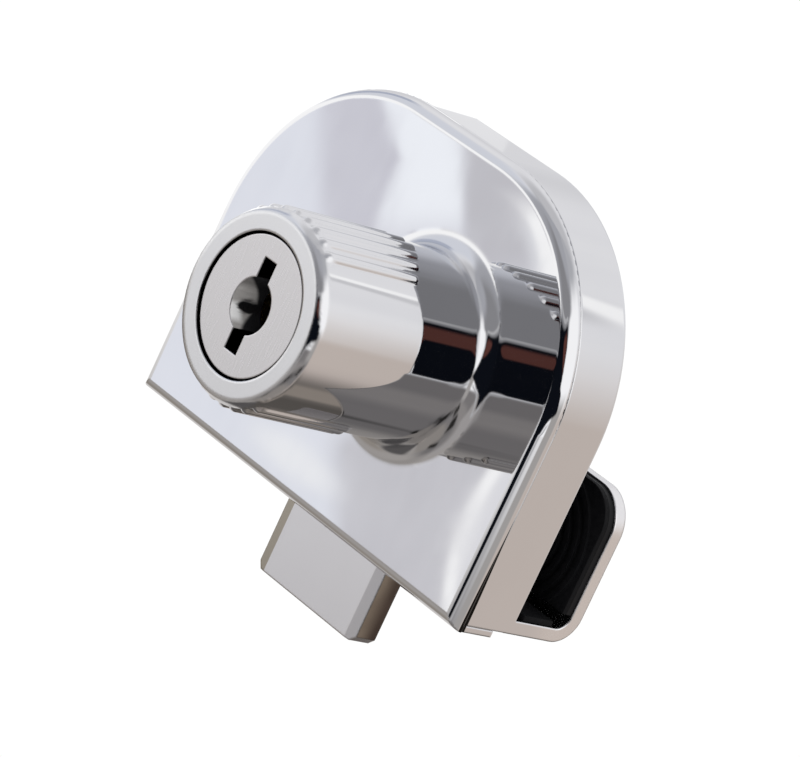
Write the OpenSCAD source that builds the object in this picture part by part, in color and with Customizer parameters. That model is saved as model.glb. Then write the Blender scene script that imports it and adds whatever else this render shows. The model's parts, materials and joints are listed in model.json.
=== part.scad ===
// Cylinder lock for a glass cabinet door, clamped on the lower edge of the pane.
// X runs along the straight lower edge, Y from the barrel to the glass, Z up to the arch.
// The origin is where the barrel axis meets the front face of the glass.

/* [Housing] */
// Width along the straight lower edge
body_w = 56; // [50:0.5:70]
// Barrel axis to the nearer side
near_side = 20.6; // [20.4:0.1:24]
// Barrel axis to the straight lower edge
lower_edge = 21.5; // [21:0.1:26]
// Radius of both upper corners
arch_r = 21; // [20.4:0.1:24]
// Front face to the rear of the skirt
body_d = 8.2; // [8.1:0.1:11]
// Front face to the seam between cover and skirt
rim_d = 1.7; // [1.65:0.05:2.2]
// Thickness of the front wall of the cover
face_t = 1.6; // [1.4:0.1:1.8]
// Thickness of the side walls
wall = 1.8; // [1.5:0.1:2]
// Thickness of the floor behind the bolt
floor_t = 1; // [0.8:0.1:1.4]
// Thickness of the lower lip of the cover
lip_t = 0.75; // [0.6:0.05:1]
// Front face to the rear end of the lower lip
lip_d = 5.9; // [4.5:0.1:6.5]

/* [Front edge] */
// Slope at which the rounded edge leaves the front face
edge_slope = 38; // [20:1:45]
// Radius of the soft brow between the front face and the rounded edge
brow_r = 1; // [0.6:0.1:1.4]

/* [Barrel] */
// Outer radius
barrel_r = 10; // [9.6:0.1:12]
// Front face to the ring face
barrel_l = 23.4; // [22.5:0.1:30]
// Width of the bevel round the ring face
barrel_edge_w = 0.5; // [0.2:0.05:0.8]
// Length of the bevel round the ring face
barrel_edge_l = 0.85; // [0.3:0.05:1.2]
// Radius of the fillet at the foot
foot_r = 2.1; // [1:0.1:3]

/* [Ribs] */
// Ribs in each bank
rib_count = 8; // [2:2:10]
// Angle from rib to rib
rib_pitch = 9.9; // [9:0.1:14]
// Radius of one rib
rib_r = 0.65; // [0.6:0.05:1]
// Height of a rib over the barrel
rib_h = 0.4; // [0.15:0.05:0.45]
// Ring face to the front tips
rib_front = 1; // [0.9:0.1:3]
// Front face to the rear tips of the middle pair
rib_rear = 7.1; // [4:0.1:12]
// How much shorter each outer rib is than its neighbour
rib_step = 0.8; // [0:0.1:1.2]

/* [Plug and key] */
// Radius of the plug
plug_r = 7.4; // [7:0.1:7.6]
// Radial clearance of the plug and of its journal
plug_play = 0.05; // [0.02:0.01:0.1]
// How far the plug face lies behind the ring face
plug_sink = 0.2; // [0:0.05:0.6]
// Chamfer of the plug face
plug_edge = 0.25; // [0.1:0.05:0.4]
// Radius of the journal in the front wall
journal_r = 5.95; // [5.5:0.05:6.4]
// Radius of the round keyhole
keyhole_r = 2.9; // [2.6:0.1:3]
// Length of the slot across the keyhole
key_slot_l = 9.9; // [8:0.1:10.4]
// Width of the slot across the keyhole
key_slot_w = 1.95; // [1.5:0.05:2.2]
// Depth of the keyhole
key_depth = 19; // [18.6:0.2:20]
// Width of the square tail
tail_w = 6.4; // [5:0.1:7]

/* [Wafers] */
// Width of a wafer
wafer_w = 7.2; // [7:0.1:7.4]
// Thickness of a wafer
wafer_t = 1; // [0.8:0.05:1.1]
// Distance from wafer to wafer
wafer_pitch = 2.4; // [2.2:0.1:2.5]
// Plug face to the first wafer
wafer_first = 4.7; // [4.4:0.1:5]
// Length of the slot in a wafer
wafer_slot_l = 10.4; // [10.2:0.1:10.8]
// Difference between one key cut and the next
cut_step = 0.25; // [0.1:0.05:0.3]
// Barrel axis to the middle of a spring
spring_x = 5; // [4.9:0.05:5.1]
// Radius of a spring pocket
pocket_r = 1; // [0.95:0.05:1.05]
// Mean radius of a spring
spring_r = 0.68; // [0.6:0.02:0.75]
// Wire of a spring
wire_d = 0.3; // [0.2:0.02:0.34]
// Turns of a spring
spring_turns = 5; // [4:1:5]

/* [Cam and bolt] */
// Radius of the drive cam
cam_r = 9.2; // [9:0.1:10]
// Thickness of the drive cam
cam_t = 1.5; // [1.2:0.1:1.6]
// Radius of the crank pin
pin_r = 1.5; // [1.3:0.1:1.6]
// Bolt stroke
stroke = 9.5; // [8:0.1:9.6]
// Width of the bolt tongue
bolt_w = 17.3; // [14:0.1:20]
// Middle of the tongue, measured from the barrel axis
bolt_x = -3.45; // [-4:0.05:-3]
// Thickness of the bolt
bolt_t = 2.95; // [2.7:0.05:3]
// How far the locked bolt stands out of the lower edge
bolt_out = 9; // [8.5:0.1:10]
// Chamfer on the corners of the tongue
bolt_chamfer = 0.7; // [0.3:0.1:1.5]
// Width of the drawn-in front edges of the tongue
bolt_roll_w = 1.4; // [0.5:0.1:2.5]
// Depth of the drawn-in front edges of the tongue
bolt_roll_d = 0.3; // [0.1:0.05:0.6]
// Width of each shoulder of the bolt
shoulder_w = 3.4; // [2.5:0.1:3.6]
// Play of the bolt in its guides
bolt_play = 0.1; // [0.05:0.01:0.15]

/* [Clamp] */
// Sheet thickness of the web and the jaw
sheet_t = 1.45; // [1.2:0.05:1.6]
// Front face of the glass to the inner face of the jaw
jaw_gap = 6.5; // [6.2:0.1:9]
// Barrel axis to the top of the jaw
jaw_top = 4.4; // [2:0.1:6]
// Radius of the upper corners of the jaw
jaw_corner_r = 4.2; // [2:0.1:6]
// Outer radius of the bend from web to jaw
bend_r = 3; // [2.2:0.1:3.2]
// Distance between the clamp screws
screw_span = 38; // [30:0.5:42]
// Lower face of the web to the line of the clamp screws
screw_rise = 8.2; // [7.5:0.1:9]
// Radius of a clamp screw
grub_r = 2; // [1.5:0.1:2.4]
// Length of a clamp screw
grub_l = 5.5; // [5:0.5:8]
// Radius of the threaded boss on the jaw
boss_r = 4.5; // [3.6:0.1:5]
// Height of the threaded boss on the jaw
boss_h = 1.6; // [1:0.1:2.5]
// Thickness of the front pad
pad_t = 0.8; // [0.6:0.1:1.2]
// Edge of the skirt to the edge of the front pad
pad_inset = 1.6; // [0.5:0.1:3]
// Thickness of the pad on the web
web_pad_t = 0.7; // [0.5:0.1:1]
// Thickness of the pressure plate
plate_t = 0.7; // [0.5:0.05:0.8]
// Thickness of the rear pad without its rings
rear_pad_t = 0.6; // [0.4:0.05:0.7]
// Height of the rings on the rear pad
ring_h = 0.25; // [0.1:0.05:0.3]
// Distance from ring to ring
ring_pitch = 1.3; // [1.1:0.1:1.6]

/* [Cover screws] */
// Radius of the shank
fix_r = 1.2; // [1:0.05:1.3]
// Radius of the countersunk head
fix_head_r = 2.4; // [2.2:0.05:2.5]
// Radius of the posts for the screws
post_r = 2.5; // [2.2:0.1:2.6]
// Sides of the housing to the screws
fix_inset = 7.2; // [7:0.1:7.4]
// Barrel axis to the upper pair of screws
fix_top = 8.5; // [7:0.1:8.8]

/* [Hidden] */
$fn = 96;
gap = 0.05;
cut = 0.5;
inner_corner_r = 0.6;
wafers = 6;
washer_t = 0.4;
head_h = 1.2;
head_r = 2.1;
screw_r = 1.25;
pin_room = 0.3;

// Levels along the barrel, measured from the glass to the front
floor_z = pad_t;
inside_z = floor_z + floor_t;
face_z = pad_t + body_d;
seam_z = face_z - rim_d;
roof_z = face_z - face_t;
ring_z = face_z + barrel_l;
plug_z = ring_z - plug_sink;
lip_end_z = face_z - lip_d;
bolt_z = inside_z + bolt_play;
bolt_top_z = bolt_z + bolt_t;
cam_top_z = roof_z - 2 * gap;
cam_z = cam_top_z - cam_t;
washer_z = cam_z - washer_t;
head_z = washer_z - head_h;
shoulder_z = face_z + 6 * gap;
wafer_z = plug_z - wafer_first;
plate_z = -jaw_gap + gap;
rear_pad_z = plate_z + plate_t;
slot_z = rear_pad_z + rear_pad_t + ring_h;

// Places across the front
far_x = near_side - body_w;
near_arch_x = near_side - arch_r;
far_arch_x = far_x + arch_r;
middle_x = near_side - body_w / 2;
body_low = -lower_edge + lip_t + gap;
web_in = body_low + sheet_t;
bolt_half = bolt_w / 2;
bolt_end = -lower_edge - bolt_out;
shoulder_y = web_in + 0.25;
bolt_back = 1;
body_half = bolt_half + shoulder_w;
crank_r = stroke / 2 / sin(45);
fix_x = [far_x + fix_inset, near_side - fix_inset];
fix_y = [-lower_edge + fix_inset, fix_top];
grub_x = [middle_x - screw_span / 2, middle_x + screw_span / 2];
grub_y = body_low + screw_rise;

// Rounded front edge, upright at the seam, and the brow that leads into it
edge_r = rim_d / cos(edge_slope);
brow_shift = sqrt(pow(edge_r - brow_r, 2) - pow(rim_d - brow_r, 2));
brow_in = edge_r - brow_shift;
brow_drop = rim_d - edge_r * (rim_d - brow_r) / (edge_r - brow_r);

// Shapes are drawn lying with the front up, then stood upright
module upright() {
    rotate([90, 0, 0]) children();
}

// Sweeps an outline of reach and height along X, with its reach to the top
module along_x(length) {
    rotate([90, 0, 90]) linear_extrude(length) children();
}

// Outline of the housing, drawn in from the sides, down to a straight lower edge
module plan(inset, low, corner) {
    reach = arch_r - inset;
    intersection() {
        union() {
            for (x = [near_arch_x, far_arch_x]) translate([x, 0]) circle(reach);
            translate([far_arch_x, 0]) square([near_arch_x - far_arch_x, reach]);
        }
        translate([far_x, 0]) square([body_w, arch_r]);
    }
    translate([far_x + inset, low + corner]) square([body_w - 2 * inset, -low - corner]);
    translate([far_x + inset + corner, low]) square([body_w - 2 * (inset + corner), -low]);
    for (x = [far_x + inset + corner, near_side - inset - corner])
        translate([x, low + corner]) circle(corner);
}

// Rim section of the cover, from its middle out to the given reach
module rim_section(reach) {
    intersection() {
        translate([0, seam_z]) square([reach + cut, rim_d]);
        union() {
            translate([0, seam_z - cut]) square([reach - brow_in, rim_d + 2 * cut]);
            translate([reach - brow_in + gap / 50, face_z - brow_r + gap / 50]) circle(brow_r);
            intersection() {
                translate([reach - edge_r, seam_z]) circle(edge_r);
                translate([0, seam_z - cut]) square([reach + cut, rim_d + cut - brow_drop]);
            }
        }
    }
}

// Full plate of the cover, arched at the top and straight at the bottom
module cover_plate() {
    translate([near_arch_x, 0, 0]) rotate_extrude(angle = 90) rim_section(arch_r);
    translate([far_arch_x, 0, 0]) rotate([0, 0, 90]) rotate_extrude(angle = 90) rim_section(arch_r);
    translate([far_arch_x, 0, 0]) along_x(near_arch_x - far_arch_x) rim_section(arch_r);
    intersection() {
        rotate([90, 0, 0]) linear_extrude(lower_edge) {
            translate([middle_x, 0]) rim_section(body_w / 2);
            translate([middle_x, 0]) mirror([1, 0]) rim_section(body_w / 2);
        }
        translate([far_x, 0, 0]) mirror([0, 1, 0]) along_x(body_w) rim_section(lower_edge);
    }
}

// Barrel with the bevel at its ring face and the fillet at its foot
module barrel() {
    rotate_extrude() {
        polygon([
            [0, roof_z],
            [barrel_r, roof_z],
            [barrel_r, ring_z - barrel_edge_l],
            [barrel_r - barrel_edge_w, ring_z],
            [0, ring_z]
        ]);
        difference() {
            translate([barrel_r - cut, face_z - cut]) square(foot_r + cut);
            translate([barrel_r + foot_r - gap / 2, face_z + foot_r - gap / 2]) circle(foot_r);
        }
    }
}

// One bank of ribs, centred on the top of the barrel
module rib_bank() {
    axis_r = barrel_r + rib_h - rib_r;
    tip = sqrt(rib_r * rib_r - pow(rib_r - rib_h, 2));
    front = ring_z - rib_front - tip;
    for (i = [0:rib_count - 1]) {
        place = i - (rib_count - 1) / 2;
        rear = face_z + rib_rear + (abs(place) - 0.5) * rib_step + tip;
        rotate([0, 0, place * rib_pitch]) translate([0, axis_r, 0]) {
            translate([0, 0, rear]) cylinder(r = rib_r, h = front - rear);
            translate([0, 0, rear]) sphere(rib_r);
            translate([0, 0, front]) sphere(rib_r);
        }
    }
}

// Lower lip that closes over the front of the web
module cover_lip() {
    translate([far_x + gap, -lower_edge + gap, lip_end_z])
        cube([body_w - 2 * gap, lip_t - gap, seam_z - lip_end_z + gap]);
}

// Room for the bolt tongue through the lower edge
module bolt_gate() {
    translate([bolt_x - bolt_half - bolt_play, -lower_edge - cut, inside_z])
        cube([bolt_w + 2 * bolt_play, lip_t + sheet_t + 2 * cut, bolt_t + 2 * bolt_play]);
}

// Bore for the plug, its journal and the two wafer grooves
module plug_bore() {
    translate([0, 0, face_z + 4 * gap]) cylinder(r = plug_r + plug_play, h = barrel_l + cut);
    translate([0, 0, roof_z - cut]) cylinder(r = journal_r + plug_play, h = face_t + 2 * cut);
    groove_z = wafer_z - wafers * wafer_pitch;
    groove_w = wafer_w + 4 * gap;
    intersection() {
        translate([-groove_w / 2, -barrel_r, groove_z])
            cube([groove_w, 2 * barrel_r, (wafers + 0.8) * wafer_pitch]);
        cylinder(r = plug_r + plug_play + 1, h = ring_z);
    }
}

module front_cover() {
    color("silver") upright() difference() {
        union() {
            difference() {
                cover_plate();
                translate([0, 0, seam_z - cut]) linear_extrude(roof_z - seam_z + cut)
                    plan(wall, body_low + wall, inner_corner_r);
            }
            cover_lip();
            barrel();
            rib_bank();
            rotate([0, 0, 180]) rib_bank();
            for (x = fix_x, y = fix_y)
                translate([x, y, inside_z + head_h + gap])
                    cylinder(r = post_r, h = roof_z - inside_z - head_h);
            for (side = [-1, 1])
                translate([bolt_x + side * (body_half - 1.8) - 0.7, shoulder_y + 0.5, bolt_top_z + bolt_play])
                    cube([1.4, 7, roof_z - bolt_top_z]);
            translate([-1.2, cam_r - 1.5, cam_z])
                cube([2.4, 2.5, roof_z - cam_z + gap]);
        }
        plug_bore();
        bolt_gate();
        for (x = fix_x, y = fix_y)
            translate([x, y, 0]) cylinder(r = fix_r + gap, h = roof_z - cut);
    }
}

// Side section of the web and the jaw, drawn as height against depth
module hook_section() {
    out_z = -jaw_gap - sheet_t;
    in_r = bend_r - sheet_t;
    difference() {
        union() {
            translate([body_low + bend_r, out_z]) square([-jaw_top - body_low - bend_r, bend_r]);
            translate([body_low, out_z + bend_r]) square([bend_r, inside_z - out_z - bend_r]);
            translate([body_low + bend_r, out_z + bend_r]) circle(bend_r);
        }
        translate([web_in + in_r, -jaw_gap]) square([lower_edge, 2 * jaw_gap + bend_r]);
        translate([web_in, -jaw_gap + in_r]) square([lower_edge, 2 * jaw_gap + bend_r]);
        translate([web_in + in_r, -jaw_gap + in_r]) circle(in_r);
    }
}

// Outline of the jaw with its two round upper corners
module jaw_plan(inset, low) {
    r = jaw_corner_r - inset;
    width = body_w - 2 * inset;
    top = -jaw_top - inset;
    translate([far_x + inset, low]) square([width, top - r - low]);
    translate([far_x + inset + r, low]) square([width - 2 * r, top - low]);
    for (x = [far_x + jaw_corner_r, near_side - jaw_corner_r])
        translate([x, top - r]) circle(r);
}

module clamp_body() {
    color("lightgray") upright() difference() {
        union() {
            difference() {
                translate([0, 0, floor_z]) linear_extrude(seam_z - floor_z) plan(0, body_low, gap);
                translate([0, 0, inside_z]) linear_extrude(body_d)
                    plan(wall, body_low + sheet_t, inner_corner_r);
            }
            intersection() {
                translate([far_x, 0, 0]) along_x(body_w) hook_section();
                translate([0, 0, -2 * jaw_gap]) linear_extrude(4 * jaw_gap) jaw_plan(0, body_low - cut);
            }
            for (x = grub_x)
                translate([x, grub_y, -jaw_gap - sheet_t - boss_h])
                    cylinder(r = boss_r, h = boss_h + sheet_t / 2);
            for (x = fix_x, y = fix_y)
                translate([x, y, floor_z]) cylinder(r = post_r, h = floor_t + head_h);
            for (side = [-1, 1])
                translate([bolt_x + side * (body_half + bolt_play + 0.75) - 0.75, web_in - gap, floor_z])
                    cube([1.5, stroke - web_in + 1.5, floor_t + bolt_t]);
        }
        bolt_gate();
        for (x = grub_x)
            translate([x, grub_y, -2 * jaw_gap]) cylinder(r = grub_r + gap, h = 2 * jaw_gap);
        for (x = fix_x, y = fix_y)
            translate([x, y, 0]) fix_shape(gap, floor_z - cut);
    }
}

// Countersunk screw shape with its head towards the glass, widened by a clearance
module fix_shape(room, start) {
    cone_end = floor_z + gap + fix_head_r - fix_r;
    rotate_extrude() polygon([
        [0, start],
        [fix_head_r + room, start],
        [fix_head_r + room, floor_z + gap],
        [fix_r + room, cone_end],
        [fix_r + room, roof_z - 1],
        [0, roof_z - 1]
    ]);
}

module cover_screws() {
    color("dimgray") upright() for (x = fix_x, y = fix_y)
        translate([x, y, 0]) difference() {
            fix_shape(0, floor_z);
            for (turn = [0, 90])
                rotate([0, 0, turn]) translate([-1.5, -0.3, 0]) cube([3, 0.6, floor_z + 0.7]);
        }
}

// Where wafer i lies along the barrel, and the side of its spring
function wafer_at(i) = wafer_z - (i - 1) * wafer_pitch;
function spring_side(i) = i % 2 == 0 ? -1 : 1;

// Heights of the ear of a wafer and of the bottom of its spring pocket
ear_y = 0.2;
ear_h = 1;
pocket_y = -4.4;

module plug() {
    slot_w = wafer_w + 2 * gap;
    slot_t = wafer_t + 2 * gap;
    color("gainsboro") upright() difference() {
        union() {
            rotate_extrude() polygon([
                [0, shoulder_z],
                [plug_r, shoulder_z],
                [plug_r, plug_z - plug_edge],
                [plug_r - plug_edge, plug_z],
                [0, plug_z]
            ]);
            translate([0, 0, cam_top_z]) cylinder(r = journal_r, h = shoulder_z - cam_top_z + cut);
            translate([-tail_w / 2, -tail_w / 2, cam_z + 4 * gap])
                cube([tail_w, tail_w, cam_t]);
        }
        translate([0, 0, plug_z - key_depth]) cylinder(r = keyhole_r, h = key_depth + cut);
        translate([-key_slot_w / 2, -key_slot_l / 2, plug_z - key_depth])
            cube([key_slot_w, key_slot_l, key_depth + cut]);
        cylinder(r = screw_r + gap, h = shoulder_z + 1);
        for (i = [1:wafers]) translate([0, 0, wafer_at(i)]) {
            translate([-slot_w / 2, -plug_r - cut, -slot_t / 2]) cube([slot_w, 2 * (plug_r + cut), slot_t]);
            translate([spring_side(i) * spring_x, pocket_y, 0]) rotate([-90, 0, 0])
                cylinder(r = pocket_r, h = 2 * plug_r);
            translate([spring_side(i) * spring_x / 2 - spring_x / 2, ear_y - 1, -slot_t / 2])
                cube([spring_x, 2 * plug_r, slot_t]);
        }
    }
}

module wafer(i) {
    ear_end = spring_x + pocket_r * 0.75;
    color("goldenrod") upright() translate([0, 0, wafer_at(i) - wafer_t / 2]) linear_extrude(wafer_t)
        difference() {
            union() {
                intersection() {
                    square([wafer_w, 4 * plug_r], center = true);
                    circle(plug_r - gap);
                }
                translate([spring_side(i) * ear_end / 2 - ear_end / 2, ear_y]) square([ear_end, ear_h]);
            }
            circle(keyhole_r + 0.15);
            translate([-key_slot_w / 2 - gap, -wafer_slot_l / 2 - (i * 2 % 5) * cut_step / 2])
                square([key_slot_w + 2 * gap, wafer_slot_l]);
        }
}

// Points and faces of an open coil with six-sided wire, wound round the Z axis
rings_per_turn = 8;
wire_sides = 6;
spring_l = ear_y - pocket_y - wire_d - gap;
spring_rise = spring_l / spring_turns;
ring_last = rings_per_turn * spring_turns;
function coil_mid(k) = [
    spring_r * cos(360 * k / rings_per_turn),
    spring_r * sin(360 * k / rings_per_turn),
    spring_rise * k / rings_per_turn
];
function coil_point(k, side) =
    let (turn = 360 * k / rings_per_turn)
    let (slope = atan(spring_rise / (2 * PI * spring_r)))
    let (around = 360 * side / wire_sides)
    let (out = cos(around) * wire_d / 2)
    let (rise = sin(around) * wire_d / 2)
    coil_mid(k) + [
        out * cos(turn) + rise * sin(slope) * sin(turn),
        out * sin(turn) - rise * sin(slope) * cos(turn),
        rise * cos(slope)
    ];
function coil_index(k, side) = k * wire_sides + side % wire_sides;
spring_gap = min([
    for (a = [0:ring_last], b = [0:ring_last]) if (b - a > rings_per_turn / 2)
        norm(coil_mid(a) - coil_mid(b)) - wire_d
]);
echo(spring_gap = spring_gap);

module coil() {
    polyhedron(
        points = [for (k = [0:ring_last], side = [0:wire_sides - 1]) coil_point(k, side)],
        faces = concat(
            [for (side = [1:wire_sides - 2]) [0, side, side + 1]],
            [for (side = [1:wire_sides - 2])
                [coil_index(ring_last, 0), coil_index(ring_last, side + 1), coil_index(ring_last, side)]],
            [for (k = [0:ring_last - 1], side = [0:wire_sides - 1])
                [coil_index(k, side), coil_index(k + 1, side), coil_index(k + 1, side + 1)]],
            [for (k = [0:ring_last - 1], side = [0:wire_sides - 1])
                [coil_index(k, side), coil_index(k + 1, side + 1), coil_index(k, side + 1)]]
        )
    );
}

module wafer_spring(i) {
    color("lightsteelblue") upright()
        translate([spring_side(i) * spring_x, pocket_y + wire_d / 2 + gap / 2, wafer_at(i)])
            rotate([-90, 0, 0]) coil();
}

module drive_cam() {
    color("darkgray") upright() difference() {
        translate([0, 0, cam_z]) cylinder(r = cam_r, h = cam_t);
        translate([-tail_w / 2 - gap, -tail_w / 2 - gap, cam_z - cut])
            cube([tail_w + 2 * gap, tail_w + 2 * gap, cam_t + 2 * cut]);
        rotate([0, 0, 225]) translate([crank_r, 0, cam_z - cut])
            cylinder(r = pin_r + gap / 5, h = cam_t + 2 * cut);
        rotate([0, 0, 78]) rotate_extrude(angle = 114)
            translate([cam_r - 1.8, cam_z - cut]) square([3, cam_t + 2 * cut]);
    }
}

module crank_pin() {
    color("slategray") upright() rotate([0, 0, 225]) translate([crank_r, 0, bolt_z + 0.3])
        cylinder(r = pin_r, h = cam_top_z - bolt_z - 0.3);
}

module cam_washer() {
    color("lightslategray") upright() translate([0, 0, washer_z]) difference() {
        cylinder(r = crank_r - pin_r - 4 * gap, h = washer_t);
        translate([0, 0, -cut]) cylinder(r = screw_r + gap, h = washer_t + 2 * cut);
    }
}

module cam_screw() {
    color("gray") upright() difference() {
        union() {
            translate([0, 0, head_z]) cylinder(r = head_r, h = head_h);
            translate([0, 0, head_z]) cylinder(r = screw_r, h = shoulder_z - head_z);
        }
        for (turn = [0, 90])
            rotate([0, 0, turn]) translate([-1.4, -0.3, head_z - cut]) cube([2.8, 0.6, cut + 0.7]);
    }
}

module bolt() {
    pin_y = -crank_r * sin(45);
    pin_x = -crank_r * cos(45);
    slot_r = pin_r + pin_room;
    color("silver") upright() difference() {
        translate([bolt_x, 0, bolt_z]) linear_extrude(bolt_t) {
            polygon([
                [-bolt_half, shoulder_y + cut],
                [-bolt_half, bolt_end + bolt_chamfer],
                [-bolt_half + bolt_chamfer, bolt_end],
                [bolt_half - bolt_chamfer, bolt_end],
                [bolt_half, bolt_end + bolt_chamfer],
                [bolt_half, shoulder_y + cut]
            ]);
            translate([-body_half, shoulder_y]) square([2 * body_half, bolt_back - shoulder_y]);
        }
        for (side = [-1, 1])
            translate([bolt_x, shoulder_y, bolt_top_z]) rotate([90, 0, 0])
                linear_extrude(shoulder_y - bolt_end + cut) polygon([
                    [side * (bolt_half - bolt_roll_w), 0],
                    [side * (bolt_half - bolt_roll_w), cut],
                    [side * (bolt_half + bolt_roll_w), cut],
                    [side * (bolt_half + bolt_roll_w), -2 * bolt_roll_d]
                ]);
        for (x = [-crank_r, pin_x])
            translate([x, pin_y, 0]) cylinder(r = slot_r, h = face_z);
        translate([-crank_r, pin_y - slot_r, 0]) cube([crank_r + pin_x, 2 * slot_r, face_z]);
        translate([-head_r - 0.3, -stroke - head_r - 0.3, min(head_z - 0.3, bolt_top_z - 0.2)])
            cube([2 * head_r + 0.6, stroke + head_r + bolt_back + 1, bolt_t]);
    }
}

module front_glass_pad() {
    color([0.08, 0.08, 0.08]) upright() linear_extrude(pad_t) plan(pad_inset, web_in + gap, 1);
}

module web_pad() {
    end_room = 0.3;
    color([0.08, 0.08, 0.08]) upright() translate([far_x + 0.2, web_in, slot_z + end_room])
        cube([body_w - 0.4, web_pad_t, -slot_z - 2 * end_room]);
}

module rear_glass_pad() {
    color([0.08, 0.08, 0.08]) upright() {
        translate([0, 0, rear_pad_z]) linear_extrude(rear_pad_t) jaw_plan(0.2, body_low + bend_r + 0.1);
        translate([0, 0, rear_pad_z + rear_pad_t - gap]) linear_extrude(ring_h + gap) intersection() {
            jaw_plan(0.3, body_low + bend_r + 0.2);
            for (x = grub_x, i = [1:6]) translate([x, grub_y]) difference() {
                circle(i * ring_pitch + 0.35);
                circle(i * ring_pitch - 0.35);
            }
        }
    }
}

module pressure_plate() {
    color([0.12, 0.12, 0.12]) upright() translate([0, 0, plate_z]) linear_extrude(plate_t)
        jaw_plan(0.2, body_low + bend_r + 0.1);
}

// Grub screw with its point at the pressure plate and a hexagon socket in its rear end
module clamp_screw(x) {
    color("dimgray") upright() translate([x, grub_y, plate_z - gap / 2]) difference() {
        rotate_extrude() polygon([
            [0, 0],
            [grub_r * 0.6, 0],
            [grub_r, -grub_r * 0.4],
            [grub_r, -grub_l + 0.3],
            [grub_r - 0.3, -grub_l],
            [0, -grub_l]
        ]);
        translate([0, 0, -grub_l - cut]) cylinder(r = grub_r * 0.58, h = 2.2 + cut, $fn = 6);
    }
}

front_cover();
clamp_body();
cover_screws();
plug();
for (i = [1:wafers]) wafer(i);
for (i = [1:wafers]) wafer_spring(i);
drive_cam();
crank_pin();
cam_washer();
cam_screw();
bolt();
front_glass_pad();
web_pad();
rear_glass_pad();
pressure_plate();
clamp_screw(grub_x[0]);  // clamp_screw_left
clamp_screw(grub_x[1]);  // clamp_screw_right
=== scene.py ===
"""Glass cabinet door lock: looks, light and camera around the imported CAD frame. Metres, row frame."""
import json
import math

import bmesh
import bpy
from mathutils import Matrix, Vector


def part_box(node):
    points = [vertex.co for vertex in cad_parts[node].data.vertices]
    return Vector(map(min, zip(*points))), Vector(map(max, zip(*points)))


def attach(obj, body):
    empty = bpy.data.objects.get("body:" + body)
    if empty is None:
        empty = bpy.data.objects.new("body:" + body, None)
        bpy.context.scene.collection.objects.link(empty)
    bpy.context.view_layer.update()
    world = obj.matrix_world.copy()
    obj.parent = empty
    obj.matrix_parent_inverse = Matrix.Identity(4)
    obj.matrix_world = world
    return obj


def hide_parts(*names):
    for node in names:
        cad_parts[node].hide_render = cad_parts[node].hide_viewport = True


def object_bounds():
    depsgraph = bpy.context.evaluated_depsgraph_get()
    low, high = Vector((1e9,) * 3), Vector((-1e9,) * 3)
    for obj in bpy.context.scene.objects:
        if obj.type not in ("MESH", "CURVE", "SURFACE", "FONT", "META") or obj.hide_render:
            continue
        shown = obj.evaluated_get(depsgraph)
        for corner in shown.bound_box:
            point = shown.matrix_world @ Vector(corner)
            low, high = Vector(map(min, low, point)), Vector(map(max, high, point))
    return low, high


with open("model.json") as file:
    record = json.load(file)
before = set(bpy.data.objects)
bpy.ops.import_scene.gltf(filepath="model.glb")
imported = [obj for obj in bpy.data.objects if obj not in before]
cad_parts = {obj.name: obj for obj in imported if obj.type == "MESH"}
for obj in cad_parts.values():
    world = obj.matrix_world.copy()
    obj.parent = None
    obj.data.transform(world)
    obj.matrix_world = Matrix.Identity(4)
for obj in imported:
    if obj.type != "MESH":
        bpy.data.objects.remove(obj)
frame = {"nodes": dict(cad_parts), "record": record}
cad_low, cad_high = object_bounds()
nodes = frame["nodes"]
MM = 0.001

# Places that the looks depend on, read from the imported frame
RING_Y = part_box("front_cover")[0].y
SEAM_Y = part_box("clamp_body")[0].y
PLUG_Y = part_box("plug")[0].y
PLUG_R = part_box("plug")[1].x
NEAR_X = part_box("front_cover")[1].x
LOW_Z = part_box("front_cover")[0].z
BOLT_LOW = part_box("bolt")[0]
BOLT_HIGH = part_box("bolt")[1]

# Sizes of the part that the boxes don't give
BARREL_R = 10 * MM
KEYHOLE_R = 2.9 * MM
KEY_SLOT_HALF = 4.95 * MM
KEY_DEPTH = 19 * MM
TONGUE_HALF = 8.65 * MM
TONGUE_ROLL = 1.4 * MM

# Widths over which edges are softened in shading only
EDGE_SOFT = 0.35 * MM
RING_SOFT = 0.9 * MM
FOOT_SOFT = 1.0 * MM
PLUG_SOFT = 0.2 * MM
BOLT_SOFT = 0.25 * MM
SOFT_SAMPLES = 16

# Rubber pads: rounding of their edges, and how their faces are joined before it
PAD_EDGE = 0.2 * MM
THIN_PAD_EDGE = 0.06 * MM
WELD = 0.001 * MM
FLAT_ANGLE = math.radians(1)
SHARP_ANGLE = math.radians(35)

# Colours used more than once
WHITE = (1.0, 1.0, 1.0)
# Painted shade for the gaps round the plug and at the seam
GAP_SHADE = (0.012, 0.011, 0.010)
UNLIT = (0.008, 0.008, 0.009)

# Camera of the photograph: place, looking direction and the direction that points up in the picture
CAMERA_AT = Vector((345.75, -356.2, 99.34)) * MM
CAMERA_FORWARD = Vector((-0.6909, 0.6931, -0.2058))
CAMERA_UP = Vector((-0.4310, -0.1662, 0.8869))
FOCAL_PX = 4986.15
IMAGE_W = 800

# Stage: a floor under the part, and a tent with its open front and the side to the right of the front
FLOOR_Z = cad_low.z - 0.12
FLOOR_R = 4
TENT_R = 6
TENT_LEVEL = 1.25
TENT_FRONT = Vector((1, -1, 0)).normalized()
TENT_RIGHT = Vector((1, 1, 0)).normalized()

# Where the tent's left wall is mirrored in the flat plate, across and down in tenths of a millimetre:
# factors of turn and height in degrees, and the level
PLATE_ACROSS = (77.30, 36.69, 7784.7)
PLATE_DOWN = (35.86, -79.01, 2664.2)
# Directions over and along the folds there, as factors of across and down
FOLD_OVER = (0.918, 0.397)
FOLD_ALONG = (-0.397, 0.918)


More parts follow.
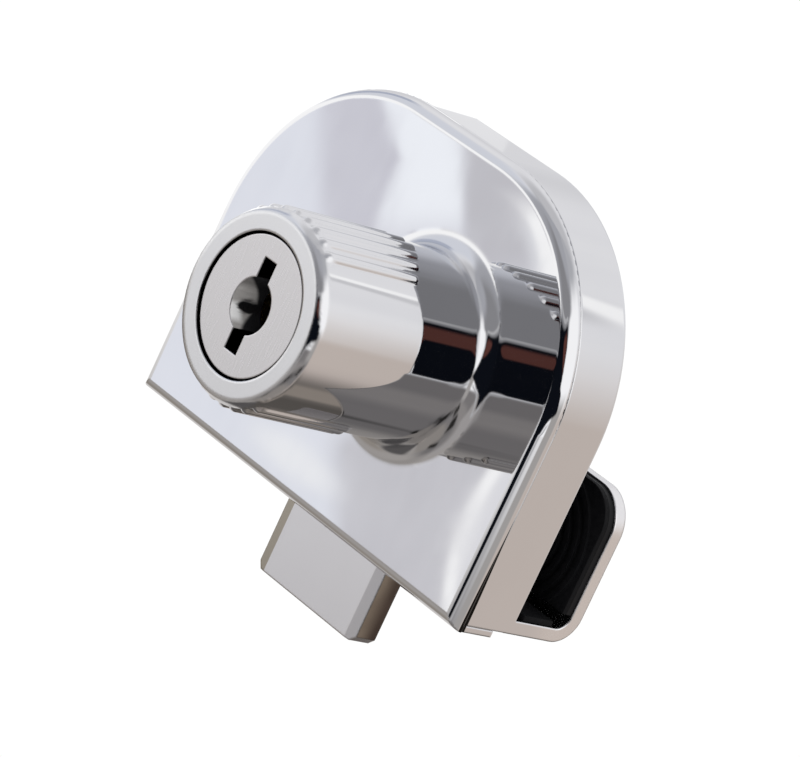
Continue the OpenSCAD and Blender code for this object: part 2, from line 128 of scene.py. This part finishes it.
def make_camera():
    data = bpy.data.cameras.new("photo_camera")
    data.sensor_fit = "HORIZONTAL"
    data.sensor_width = 36
    data.lens = FOCAL_PX * data.sensor_width / IMAGE_W
    data.clip_start = 0.01
    data.clip_end = 100
    camera = bpy.data.objects.new("photo_camera", data)
    bpy.context.scene.collection.objects.link(camera)
    back = -CAMERA_FORWARD.normalized()
    right = CAMERA_UP.cross(back).normalized()
    up = back.cross(right)
    axes = Matrix((right, up, back)).transposed()
    camera.matrix_world = Matrix.Translation(CAMERA_AT) @ axes.to_4x4()
    bpy.context.scene.camera = camera


class Nodes:
    """Short calls for building one node tree."""

    def __init__(self, tree):
        self.tree = tree
        tree.nodes.clear()

    def add(self, kind, inputs=None, **settings):
        node = self.tree.nodes.new(kind)
        for name, value in settings.items():
            setattr(node, name, value)
        for name, value in (inputs or {}).items():
            if isinstance(value, bpy.types.NodeSocket):
                self.tree.links.new(value, node.inputs[name])
            else:
                node.inputs[name].default_value = value
        return node

    def math(self, operation, a, b=0.0, c=0.0):
        return self.add("ShaderNodeMath", {0: a, 1: b, 2: c}, operation=operation).outputs[0]

    def plus(self, a, b):
        return self.math("ADD", a, b)

    def minus(self, a, b):
        return self.math("SUBTRACT", a, b)

    def apart(self, a, b):
        return self.math("ABSOLUTE", self.minus(a, b))

    def most(self, a, b):
        return self.math("MAXIMUM", a, b)

    def mean(self, a, b):
        return self.math("MULTIPLY", self.plus(a, b), 0.5)

    def square(self, value):
        return self.math("POWER", value, 2)

    def radius(self, a, b):
        return self.math("SQRT", self.plus(self.square(a), self.square(b)))

    def times(self, first, *others):
        for other in others:
            first = self.math("MULTIPLY", first, other)
        return first

    def least(self, first, *others, soft=0.0):
        for other in others:
            first = self.math("SMOOTH_MIN", first, other, soft)
        return first

    def line(self, value, slope, level):
        return self.math("MULTIPLY_ADD", value, slope, level)

    def plane(self, a, b, slope_a, slope_b, level=0.0):
        return self.line(b, slope_b, self.line(a, slope_a, level))

    def dot(self, vector, direction):
        node = self.add("ShaderNodeVectorMath", {0: vector, 1: direction}, operation="DOT_PRODUCT")
        return node.outputs["Value"]

    def scaled(self, vector, factors):
        node = self.add("ShaderNodeVectorMath", {0: vector, 1: factors}, operation="MULTIPLY")
        return node.outputs["Vector"]

    def ramp(self, value, low, high, to_low=0.0, to_high=1.0):
        """Smooth step from to_low at low to to_high at high; low may be the larger of the two."""
        if low > high:
            low, high, to_low, to_high = high, low, to_high, to_low
        return self.add(
            "ShaderNodeMapRange",
            {"Value": value, "From Min": low, "From Max": high, "To Min": to_low, "To Max": to_high},
            interpolation_type="SMOOTHSTEP",
        ).outputs["Result"]

    def spread(self, noise, low, high):
        """A noise, which mostly lies between 0.3 and 0.7, spread from low to high."""
        return self.ramp(noise, 0.3, 0.7, low, high)

    def hump(self, value, centre, core, edge):
        """One within core of the centre, nothing beyond edge."""
        return self.ramp(self.apart(value, centre), edge, core)

    def mix(self, factor, a, b):
        node = self.add("ShaderNodeMix", data_type="RGBA")
        for socket, value in ((node.inputs[0], factor), (node.inputs[6], a), (node.inputs[7], b)):
            if isinstance(value, bpy.types.NodeSocket):
                self.tree.links.new(value, socket)
            elif isinstance(value, (int, float)):
                socket.default_value = value
            else:
                socket.default_value = (*value, 1)
        return node.outputs[2]

    def blend(self, factor, a, b):
        return self.add("ShaderNodeMix", {0: factor, 2: a, 3: b}, data_type="FLOAT").outputs[0]

    def noise(self, vector, scale=1.0, detail=2.0, roughness=0.5):
        return self.add(
            "ShaderNodeTexNoise",
            {"Vector": vector, "Scale": scale, "Detail": detail, "Roughness": roughness},
        ).outputs["Fac"]


def new_material(name):
    material = bpy.data.materials.new(name)
    material.use_nodes = True
    n = Nodes(material.node_tree)
    place = n.add("ShaderNodeTexCoord").outputs["Object"]
    return material, n, place


def finish_material(n, inputs):
    shader = n.add("ShaderNodeBsdfPrincipled", inputs)
    n.add("ShaderNodeOutputMaterial", {"Surface": shader.outputs[0]})


def make_world():
    world = bpy.data.worlds.new("studio")
    world.use_nodes = True
    bpy.context.scene.world = world
    n = Nodes(world.node_tree)
    white = n.add("ShaderNodeBackground", {"Color": (*WHITE, 1), "Strength": 1.0})
    n.add("ShaderNodeOutputWorld", {"Surface": white.outputs[0]})


def tent_walls(n, way, turn, height):
    """Cloth walls and roof."""
    around = n.math("ABSOLUTE", turn)
    cloth = n.mix(n.noise(way, scale=3.0, detail=3.0), (0.70, 0.70, 0.73), (0.82, 0.82, 0.83))
    roof = n.mix(n.ramp(around, 80, 125), (0.43, 0.435, 0.46), (0.53, 0.53, 0.55))
    cloth = n.mix(n.ramp(height, 48, 68), cloth, roof)
    behind = n.times(n.ramp(around, 140, 165), n.ramp(height, 40, 20))
    cloth = n.mix(behind, cloth, (0.63, 0.63, 0.65))
    # Front wall above the opening, darkest close over it
    near_gap = n.times(n.ramp(turn, -78, -48), n.ramp(height, 66, 50))
    front = n.mix(near_gap, (0.38, 0.385, 0.415), (0.245, 0.245, 0.258))
    in_front = n.times(n.ramp(turn, -96, -80), n.ramp(turn, 40, 14), n.ramp(height, -5, 5))
    cloth = n.mix(in_front, cloth, front)
    # Lit wall on the right, with a seam
    lean = n.minus(turn, n.ramp(height, 40, 50, 0.0, 16.0))
    lit = n.times(n.ramp(lean, 8, 24), n.ramp(turn, 100, 76), n.ramp(height, 66, 46))
    cloth = n.mix(lit, cloth, (0.97, 0.97, 0.98))
    seam = n.minus(height, n.line(turn, 1.0, -73.0))
    stretch = n.times(n.ramp(turn, 135, 125), n.ramp(height, 31, 36))
    cloth = n.mix(n.times(n.hump(seam, 0.7, 0.4, 1.7), stretch), cloth, (0.95, 0.95, 0.95))
    cloth = n.mix(n.times(n.hump(seam, 2.9, 0.4, 1.5), stretch), cloth, (0.58, 0.58, 0.60))
    # Softer wall on the left, darker at its far end
    left = n.times(n.hump(turn, -112, 20, 36), n.ramp(height, -2, 20), n.ramp(height, 62, 40))
    cloth = n.mix(left, cloth, (0.66, 0.68, 0.74))
    far_left = n.times(n.hump(turn, -137, 9, 15), n.ramp(height, 4, 16), n.ramp(height, 44, 37))
    cloth = n.mix(far_left, cloth, (0.42, 0.45, 0.54))
    # White foot of the left wall and of the back wall
    foot = n.times(n.ramp(turn, -69, -74), n.hump(height, -4, 9, 15))
    return n.mix(foot, cloth, WHITE)


def tent_table(n, turn, height):
    """Table top, with the shade of the lock on it."""
    table = n.mix(n.hump(height, -33, 3, 10), (0.195, 0.185, 0.185), (0.26, 0.245, 0.24))
    table = n.mix(n.times(n.ramp(turn, -12, -24), n.ramp(height, -38, -31)), table, (0.34, 0.325, 0.32))
    table = n.mix(n.ramp(height, -50, -60), table, (0.255, 0.235, 0.22))
    # Left part, dark below and paler towards the back
    table = n.mix(n.ramp(turn, -62, -84), table, (0.345, 0.325, 0.31))
    table = n.mix(n.times(n.ramp(turn, -78, -92), n.ramp(height, -50, -58)), table, (0.09, 0.085, 0.085))
    table = n.mix(n.times(n.ramp(turn, -98, -120), n.ramp(height, -56, -48)), table, (0.27, 0.245, 0.22))
    table = n.mix(n.times(n.ramp(turn, -138, -160), n.ramp(height, -56, -48)), table, (0.56, 0.54, 0.53))
    # Shade, a bow that rises faster on the left
    bow = n.square(n.plus(turn, 28))
    bow_left = n.line(bow, 0.0095, -57)
    bow_right = n.line(bow, 0.003, -50)
    shade = n.times(
        n.hump(n.minus(height, n.blend(n.ramp(turn, -30, -26), bow_left, bow_right)), 0, 4.0, 7.5),
        n.ramp(turn, -96, -86),
        n.ramp(turn, 54, 44),
        n.blend(n.hump(turn, -26, 12, 18), 0.95, 0.2),
        n.ramp(turn, -58, -50, 0.15, 1.0),
        n.blend(n.hump(turn, 27, 4, 7), 1.0, 0.3),
    )
    table = n.mix(shade, table, (0.014, 0.013, 0.012))
    # Warm right part, dark below and behind
    table = n.mix(n.ramp(turn, 62, 74), table, (0.49, 0.43, 0.395))
    table = n.mix(n.times(n.ramp(turn, 64, 92), n.ramp(height, -26, -42)), table, (0.14, 0.125, 0.115))
    table = n.mix(n.times(n.hump(turn, 117, 6, 13), n.ramp(height, -38, -43)), table, (0.24, 0.21, 0.185))
    return n.mix(n.times(n.ramp(turn, 124, 137), n.ramp(height, -40, -44)), table, (0.085, 0.077, 0.07))


def tent_cards(n, turn, height, cloth):
    """Grey card and warm card low on the right."""
    grey = n.times(n.hump(turn, 52, 15, 20), n.ramp(height, 12, 0), n.ramp(height, -30, -20))
    cloth = n.mix(grey, cloth, (0.37, 0.355, 0.345))
    rise = n.most(n.ramp(height, 12, -6), n.times(n.ramp(height, 30, -10), n.ramp(turn, 80, 90)))
    warm = n.times(n.ramp(turn, 60, 74), n.ramp(turn, 150, 120), rise, n.ramp(height, -30, -20))
    return n.mix(warm, cloth, (0.53, 0.465, 0.425))


def tent_folds(n, turn, height):
    """Folds of the left wall, placed across and down its mirror image in the flat plate."""
    across = n.plane(turn, height, *PLATE_ACROSS)
    down = n.plane(turn, height, *PLATE_DOWN)
    over = n.plane(across, down, *FOLD_OVER)
    along = n.plane(across, down, *FOLD_ALONG)
    thread = n.add("ShaderNodeCombineXYZ", {0: n.times(over, 0.07), 1: n.times(along, 0.011)})
    streak = n.noise(thread.outputs[0])
    wall = n.mix(streak, (0.74, 0.76, 0.83), (0.84, 0.86, 0.92))
    upper = n.ramp(down, 310, 235)
    dim = n.mix(streak, (0.59, 0.585, 0.65), (0.68, 0.68, 0.74))
    wall = n.mix(n.times(upper, n.ramp(across, 306, 332)), wall, dim)
    # A bright gore with a swept left edge, and the shaded cloth right of it
    swept = n.plus(over, n.line(streak, 22, -442.5))
    steep = n.plane(across, down, 0.95, -0.315, -339.1)
    gore = n.times(n.ramp(n.most(swept, steep), -5, 6), n.ramp(across, 482, 464), n.ramp(down, 262, 190))
    wall = n.mix(gore, wall, (0.93, 0.955, 1.0))
    right = n.ramp(across, 464, 482)
    wall = n.mix(n.times(upper, right), wall, (0.565, 0.56, 0.595))
    # Lit cloth outside an arch on the upper right
    arch = n.radius(n.minus(across, 449), n.minus(down, 265))
    above = n.times(right, n.ramp(down, 345, 300))
    wall = n.mix(n.times(above, n.ramp(arch, 86, 102), n.ramp(down, 195, 230)), wall, (0.73, 0.735, 0.77))
    wall = n.mix(n.times(above, n.ramp(arch, 101, 108), n.ramp(down, 170, 215)), wall, WHITE)
    # Lower down: shaded cloth, a lit patch on the left and a bright bent fold on the right
    lower = n.ramp(down, 425, 460)
    shaded = n.mix(streak, (0.54, 0.535, 0.57), (0.66, 0.655, 0.69))
    wall = n.mix(n.times(lower, n.ramp(across, 318, 352)), wall, shaded)
    patch_along = n.plane(across, down, 0.0131, 0.0104, -8.69)
    patch_over = n.plane(across, down, -0.031, 0.039, -9.34)
    wall = n.mix(n.ramp(n.radius(patch_along, patch_over), 1.3, 0.4), wall, (0.90, 0.91, 0.93))
    bend = n.radius(n.minus(across, 746), n.minus(down, 642))
    wall = n.mix(n.times(lower, n.ramp(bend, 287, 277)), wall, (0.76, 0.76, 0.79))
    return n.mix(n.times(n.hump(bend, 289, 3, 11), n.ramp(down, 452, 474)), wall, WHITE)


def tent_opening(n, turn, height, cloth):
    """The open front, dark inside, with a pale hem and a brown board under its upper edge."""
    inside = n.least(
        n.minus(n.line(turn, 0.52, 36), height),
        n.minus(n.line(turn, -0.80, 40.8), height),
        n.minus(36.0, height),
        n.minus(height, n.line(turn, 0.20, -9.5)),
        n.plus(height, n.line(turn, 0.55, 43.5)),
        soft=5.0,
    )
    hem = n.times(n.hump(inside, -3.0, 0.6, 1.6), n.hump(turn, -18, 40, 56))
    cloth = n.mix(hem, cloth, (0.42, 0.42, 0.43))
    board = n.times(n.hump(height, 25, 5.5, 7.5), n.hump(turn, 4, 22, 30), n.ramp(inside, 1.5, 6.0))
    dark = n.mix(board, (0.004, 0.005, 0.008), (0.095, 0.036, 0.030))
    return n.mix(n.ramp(inside, -1.2, 1.2), cloth, dark)


def tent_colour(n, place):
    """Colour of the tent by turn from its front, positive to the right, and by height, both in degrees."""
    way = n.add("ShaderNodeVectorMath", {0: place}, operation="NORMALIZE").outputs["Vector"]
    turn = n.math("DEGREES", n.math("ARCTAN2", n.dot(way, TENT_RIGHT), n.dot(way, TENT_FRONT)))
    height = n.math("DEGREES", n.math("ARCSINE", n.dot(way, Vector((0, 0, 1)))))
    colour = tent_walls(n, way, turn, height)
    colour = n.mix(n.ramp(height, -10, -16), colour, tent_table(n, turn, height))
    colour = tent_cards(n, turn, height, colour)
    folded = n.times(n.hump(turn, -90.3, 2.8, 4.2), n.hump(height, -11.4, 3.2, 4.6))
    colour = n.mix(folded, colour, tent_folds(n, turn, height))
    return tent_opening(n, turn, height, colour)


def make_tent():
    """Round the whole scene, seen only in reflections."""
    form = bmesh.new()
    bmesh.ops.create_uvsphere(form, u_segments=96, v_segments=48, radius=TENT_R)
    mesh = bpy.data.meshes.new("tent")
    form.to_mesh(mesh)
    form.free()
    tent = bpy.data.objects.new("tent", mesh)
    bpy.context.scene.collection.objects.link(tent)
    tent.visible_camera = False
    tent.visible_diffuse = False
    tent.visible_shadow = False
    tent.visible_volume_scatter = False
    material, n, place = new_material("tent_cloth")
    material.cycles.emission_sampling = "NONE"
    glow = n.add("ShaderNodeEmission", {"Color": tent_colour(n, place), "Strength": TENT_LEVEL})
    n.add("ShaderNodeOutputMaterial", {"Surface": glow.outputs[0]})
    mesh.materials.append(material)


def make_floor():
    """Plain pale floor under the part, not mirrored in it."""
    bpy.ops.mesh.primitive_circle_add(vertices=96, radius=FLOOR_R, fill_type="NGON", location=(0, 0, FLOOR_Z))
    floor = bpy.context.object
    floor.name = "floor"
    floor.visible_glossy = False
    material, n, _ = new_material("pale_floor")
    finish_material(n, {
        "Base Color": (0.93, 0.93, 0.93, 1),
        "Roughness": 0.9,
        "Specular IOR Level": 0.0,
        "Emission Color": (*WHITE, 1),
        "Emission Strength": 0.09,
    })
    floor.data.materials.append(material)


def bump(n, height, strength, distance, edge=0.0):
    """Normal of a slightly uneven surface, its edges softened over the width edge."""
    inputs = {"Height": height, "Strength": strength, "Distance": distance}
    if edge:
        inputs["Normal"] = n.add("ShaderNodeBevel", {"Radius": edge}, samples=SOFT_SAMPLES).outputs[0]
    return n.add("ShaderNodeBump", inputs).outputs[0]


def coordinates(n, place):
    parts = n.add("ShaderNodeSeparateXYZ", {0: place})
    return parts.outputs["X"], parts.outputs["Y"], parts.outputs["Z"]


def polished_chrome():
    """Chrome of the cover and the clamp body."""
    material, n, place = new_material("chrome")
    x, y, z = coordinates(n, place)
    radius = n.radius(x, z)
    cloud = n.noise(place, scale=90, detail=3.0)
    wipe = n.noise(n.scaled(place, (260, 260, 120)), detail=3.0)
    polish = n.plus(n.spread(cloud, 0.015, 0.03), n.ramp(wipe, 0.4, 0.75, 0.0, 0.015))
    # The ring round the plug has a turned satin face, and the jaw behind the pane is duller, with a lighter
    # colour as painted light
    ring_face = n.ramp(y, RING_Y + 0.1 * MM, RING_Y)
    satin = n.spread(n.noise(n.scaled(place, (5000, 5000, 700))), 0.25, 0.27)
    dull_jaw_painted_light = n.ramp(y, 1 * MM, 5 * MM)
    rough = n.blend(ring_face, n.blend(dull_jaw_painted_light, polish, 0.24), satin)
    colour = n.mix(cloud, (0.695, 0.695, 0.705), (0.735, 0.735, 0.745))
    # Painted light: the jaw's chrome is coloured lighter than the rest of the chrome
    colour = n.mix(dull_jaw_painted_light, colour, (0.80, 0.79, 0.79))
    # Painted shade in the groove round the plug and in the seam, painted wider towards the seam's lower end
    in_bore = n.times(n.ramp(y, RING_Y, RING_Y + 0.05 * MM), n.ramp(y, SEAM_Y, SEAM_Y - 0.1 * MM))
    groove = n.times(n.ramp(radius, PLUG_R + 0.12 * MM, PLUG_R + 0.08 * MM), in_bore)
    shade_widening = n.times(n.ramp(z, -6 * MM, LOW_Z), n.ramp(x, NEAR_X - 2 * MM, NEAR_X - 1 * MM))
    seam_w = n.line(shade_widening, 0.42 * MM, -0.04 * MM)
    seam = n.ramp(n.minus(n.apart(y, SEAM_Y), seam_w), 0.03 * MM, 0.0)
    colour = n.mix(n.most(groove, seam), colour, GAP_SHADE)
    # Softer edges at the ring's outer edge with the front tips of the ribs, and at the foot of the barrel
    ring = n.times(
        n.ramp(y, RING_Y + 2.6 * MM, RING_Y + 1.6 * MM),
        n.ramp(radius, BARREL_R - 1.4 * MM, BARREL_R - 0.8 * MM),
    )
    foot = n.times(
        n.ramp(y, SEAM_Y - 6.2 * MM, SEAM_Y - 4.8 * MM),
        n.ramp(y, SEAM_Y - 1.4 * MM, SEAM_Y - 1.6 * MM),
        n.ramp(radius, BARREL_R + 5 * MM, BARREL_R + 3.6 * MM),
    )
    edge = n.blend(foot, n.blend(ring, EDGE_SOFT, RING_SOFT), FOOT_SOFT)
    wave = bump(n, n.noise(place, scale=55, detail=1.0), strength=0.08, distance=0.05 * MM, edge=edge)
    finish_material(n, {"Base Color": colour, "Metallic": 1.0, "Roughness": rough, "Normal": wave})
    return material


def satin_plug():
    """Brushed nickel of the plug, with painted light and shade in its keyhole."""
    material, n, place = new_material("nickel")
    x, y, z = coordinates(n, place)
    radius = n.radius(x, z)
    depth = n.minus(y, PLUG_Y)
    brush = n.noise(n.scaled(place, (6000, 6000, 500)), detail=3.0)
    speck = n.noise(place, scale=3000, detail=3.0)
    colour = n.mix(n.mean(brush, speck), (0.65, 0.635, 0.64), (0.69, 0.675, 0.68))
    rough = n.spread(brush, 0.27, 0.295)
    # Painted shade: the slot of the keyhole is dark at once, and so is the plug's outer edge
    slot = n.times(
        n.ramp(radius, KEY_SLOT_HALF + 0.45 * MM, KEY_SLOT_HALF + 0.25 * MM),
        n.ramp(depth, KEY_DEPTH + 0.3 * MM, KEY_DEPTH + 0.1 * MM),
        n.ramp(depth, 0.02 * MM, 0.25 * MM),
    )
    rim_shade = n.ramp(radius, PLUG_R - 0.26 * MM, PLUG_R - 0.20 * MM)
    colour = n.mix(n.most(slot, rim_shade), colour, UNLIT)
    # The unplated bore is dull and scratched grey, with painted shade above, a painted highlight low down, the
    # painted shadow of a small hole, and nothing lit far in
    bore = n.times(
        n.ramp(radius, KEYHOLE_R + 0.1 * MM, KEYHOLE_R + 0.05 * MM),
        n.ramp(depth, 0.02 * MM, 0.1 * MM),
    )
    scratch = n.noise(n.scaled(place, (2600, 500, 2600)))
    bore_colour_and_painted_light = n.mix(scratch, (0.30, 0.285, 0.275), (0.52, 0.50, 0.485))
    # Painted shade: the bore is darker above
    bore_colour_and_painted_light = n.mix(n.ramp(z, 0.7 * MM, 1.7 * MM), bore_colour_and_painted_light, (0.17, 0.16, 0.155))
    # Painted highlight, low on the bore near its mouth
    painted_glint = n.times(n.hump(z, -1.5 * MM, 0.4 * MM, 1.1 * MM), n.ramp(depth, 2.0 * MM, 1.0 * MM))
    bore_colour_and_painted_light = n.mix(painted_glint, bore_colour_and_painted_light, WHITE)
    # Painted shadow of a small hole in the bore, with a ragged edge
    pit_shade_along = n.times(n.math("MINIMUM", n.minus(depth, 2.0 * MM), 0.0), 0.6)
    ragged = n.line(scratch, 0.8 * MM, -0.4 * MM)
    painted_pit_shade = n.ramp(n.plus(n.radius(pit_shade_along, n.plus(z, 0.95 * MM)), ragged), 0.85 * MM, 0.35 * MM)
    lit_depth = n.line(n.square(n.plus(z, 0.4 * MM)), -400, 3.5 * MM)
    unlit = n.ramp(n.minus(depth, lit_depth), -0.6 * MM, 0.1 * MM)
    bore_colour_and_painted_light = n.mix(n.most(painted_pit_shade, unlit), bore_colour_and_painted_light, UNLIT)
    colour = n.mix(bore, colour, bore_colour_and_painted_light)
    # Keys have worn the bore open towards the front, so its wall is shaded with a slope of one to one
    grain = bump(n, brush, strength=0.03, distance=0.01 * MM, edge=PLUG_SOFT)
    slope = {"Height": n.math("DIVIDE", depth, MM), "Strength": bore, "Distance": MM, "Normal": grain}
    finish_material(n, {
        "Base Color": colour,
        "Metallic": n.ramp(bore, 0.0, 1.0, 1.0, 0.05),
        "Roughness": rough,
        "Normal": n.add("ShaderNodeBump", slope).outputs[0],
        "Specular IOR Level": n.ramp(bore, 0.0, 1.0, 0.5, 0.1),
    })
    return material


def satin_metal(name, dark, light, rough_low, rough_high, grain):
    material, n, place = new_material(name)
    speck = n.noise(place, scale=grain, detail=3.0)
    patch = n.noise(place, scale=220, detail=3.0)
    colour = n.mix(n.mean(speck, patch), dark, light)
    rough = n.spread(speck, rough_low, rough_high)
    normal = bump(n, speck, strength=0.25, distance=0.01 * MM)
    finish_material(n, {"Base Color": colour, "Metallic": 1.0, "Roughness": rough, "Normal": normal})
    return material


def satin_bolt():
    """Zinc of the bolt, with unpolished side faces and painted shade towards their rear."""
    material, n, place = new_material("zinc")
    x, y, _ = coordinates(n, place)
    speck = n.noise(place, scale=2500, detail=3.0)
    patch = n.noise(place, scale=260, detail=3.0)
    colour = n.mix(n.mean(speck, patch), (0.69, 0.68, 0.70), (0.74, 0.735, 0.755))
    # The rolled edge on the far side is tan
    away = n.apart(x, (BOLT_LOW.x + BOLT_HIGH.x) / 2)
    inner = TONGUE_HALF - TONGUE_ROLL
    rolled = n.times(n.ramp(away, inner - 0.05 * MM, inner + 0.05 * MM), n.ramp(x, 0, -1 * MM))
    colour = n.mix(rolled, colour, (0.40, 0.37, 0.32))
    # The blanked side faces are tan at the front and brown at the rear; the darkening towards the rear is
    # painted shade
    side = n.ramp(away, TONGUE_HALF - 0.03 * MM, TONGUE_HALF - 0.01 * MM)
    rear_shade = n.ramp(y, BOLT_LOW.y + 0.2 * MM, BOLT_HIGH.y - 0.3 * MM)
    side_tone_and_shade = n.mix(rear_shade, (0.27, 0.24, 0.20), (0.072, 0.056, 0.048))
    side_tone_and_shade = n.mix(n.ramp(patch, 0.35, 0.65, 0.0, 0.3), side_tone_and_shade, (0.13, 0.105, 0.09))
    colour = n.mix(side, colour, side_tone_and_shade)
    rough = n.spread(speck, 0.25, 0.27)
    normal = bump(n, speck, strength=0.02, distance=0.01 * MM, edge=BOLT_SOFT)
    finish_material(n, {"Base Color": colour, "Metallic": 1.0, "Roughness": rough, "Normal": normal})
    return material


def black_coat(name, dark, light, rough_low, rough_high, grain):
    material, n, place = new_material(name)
    speck = n.noise(place, scale=grain, detail=4.0)
    colour = n.mix(speck, dark, light)
    rough = n.spread(speck, rough_low, rough_high)
    normal = bump(n, speck, strength=0.4, distance=0.02 * MM)
    finish_material(n, {"Base Color": colour, "Roughness": rough, "Normal": normal, "Specular IOR Level": 0.12})
    return material


def dress_nodes():
    """Give every CAD node the look of its material slot."""
    looks = {
        "polished_chrome": polished_chrome(),
        "satin_nickel": satin_plug(),
        "satin_zinc": satin_bolt(),
        "zinc_steel": satin_metal("steel", (0.52, 0.52, 0.53), (0.64, 0.64, 0.64), 0.22, 0.36, 2000),
        "brass": satin_metal("brass", (0.70, 0.52, 0.22), (0.80, 0.63, 0.31), 0.25, 0.40, 2000),
        "spring_steel": satin_metal("spring_wire", (0.48, 0.49, 0.51), (0.60, 0.61, 0.63), 0.22, 0.34, 3000),
        "black_rubber": black_coat("rubber", (0.003, 0.003, 0.004), (0.008, 0.008, 0.009), 0.6, 0.8, 1800),
        "black_steel": black_coat("blackened", (0.006, 0.006, 0.007), (0.013, 0.013, 0.014), 0.35, 0.5, 1500),
    }
    slots = {s["node"]: s["material_slot"] for s in frame["record"]["subparts"]}
    for name, obj in nodes.items():
        obj.data.materials.clear()
        obj.data.materials.append(looks[slots[name]])
    return looks


def rubber_piece(node, body, edge, looks):
    """Moulded rubber in the place of a pad: the pad's form with its edges rounded."""
    form = bmesh.new()
    form.from_mesh(nodes[node].data)
    bmesh.ops.remove_doubles(form, verts=form.verts, dist=WELD)
    bmesh.ops.dissolve_limit(form, angle_limit=FLAT_ANGLE, verts=form.verts, edges=form.edges)
    sharp = [e for e in form.edges if len(e.link_faces) == 2 and e.calc_face_angle(0) > SHARP_ANGLE]
    bmesh.ops.bevel(form, geom=sharp, offset=edge, segments=3, profile=0.5, affect="EDGES", clamp_overlap=True)
    for face in form.faces:
        face.smooth = True
    mesh = bpy.data.meshes.new(node + "_rubber")
    form.to_mesh(mesh)
    form.free()
    piece = bpy.data.objects.new(node + "_rubber", mesh)
    bpy.context.scene.collection.objects.link(piece)
    mesh.materials.append(looks["black_rubber"])
    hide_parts(node)
    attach(piece, body)


make_camera()
make_world()
make_tent()
make_floor()
finishes = dress_nodes()
rubber_piece("front_glass_pad", "housing", PAD_EDGE, finishes)
rubber_piece("web_pad", "housing", PAD_EDGE, finishes)
rubber_piece("rear_glass_pad", "clamp_plate", THIN_PAD_EDGE, finishes)
bpy.context.scene.view_settings.view_transform = "Standard"
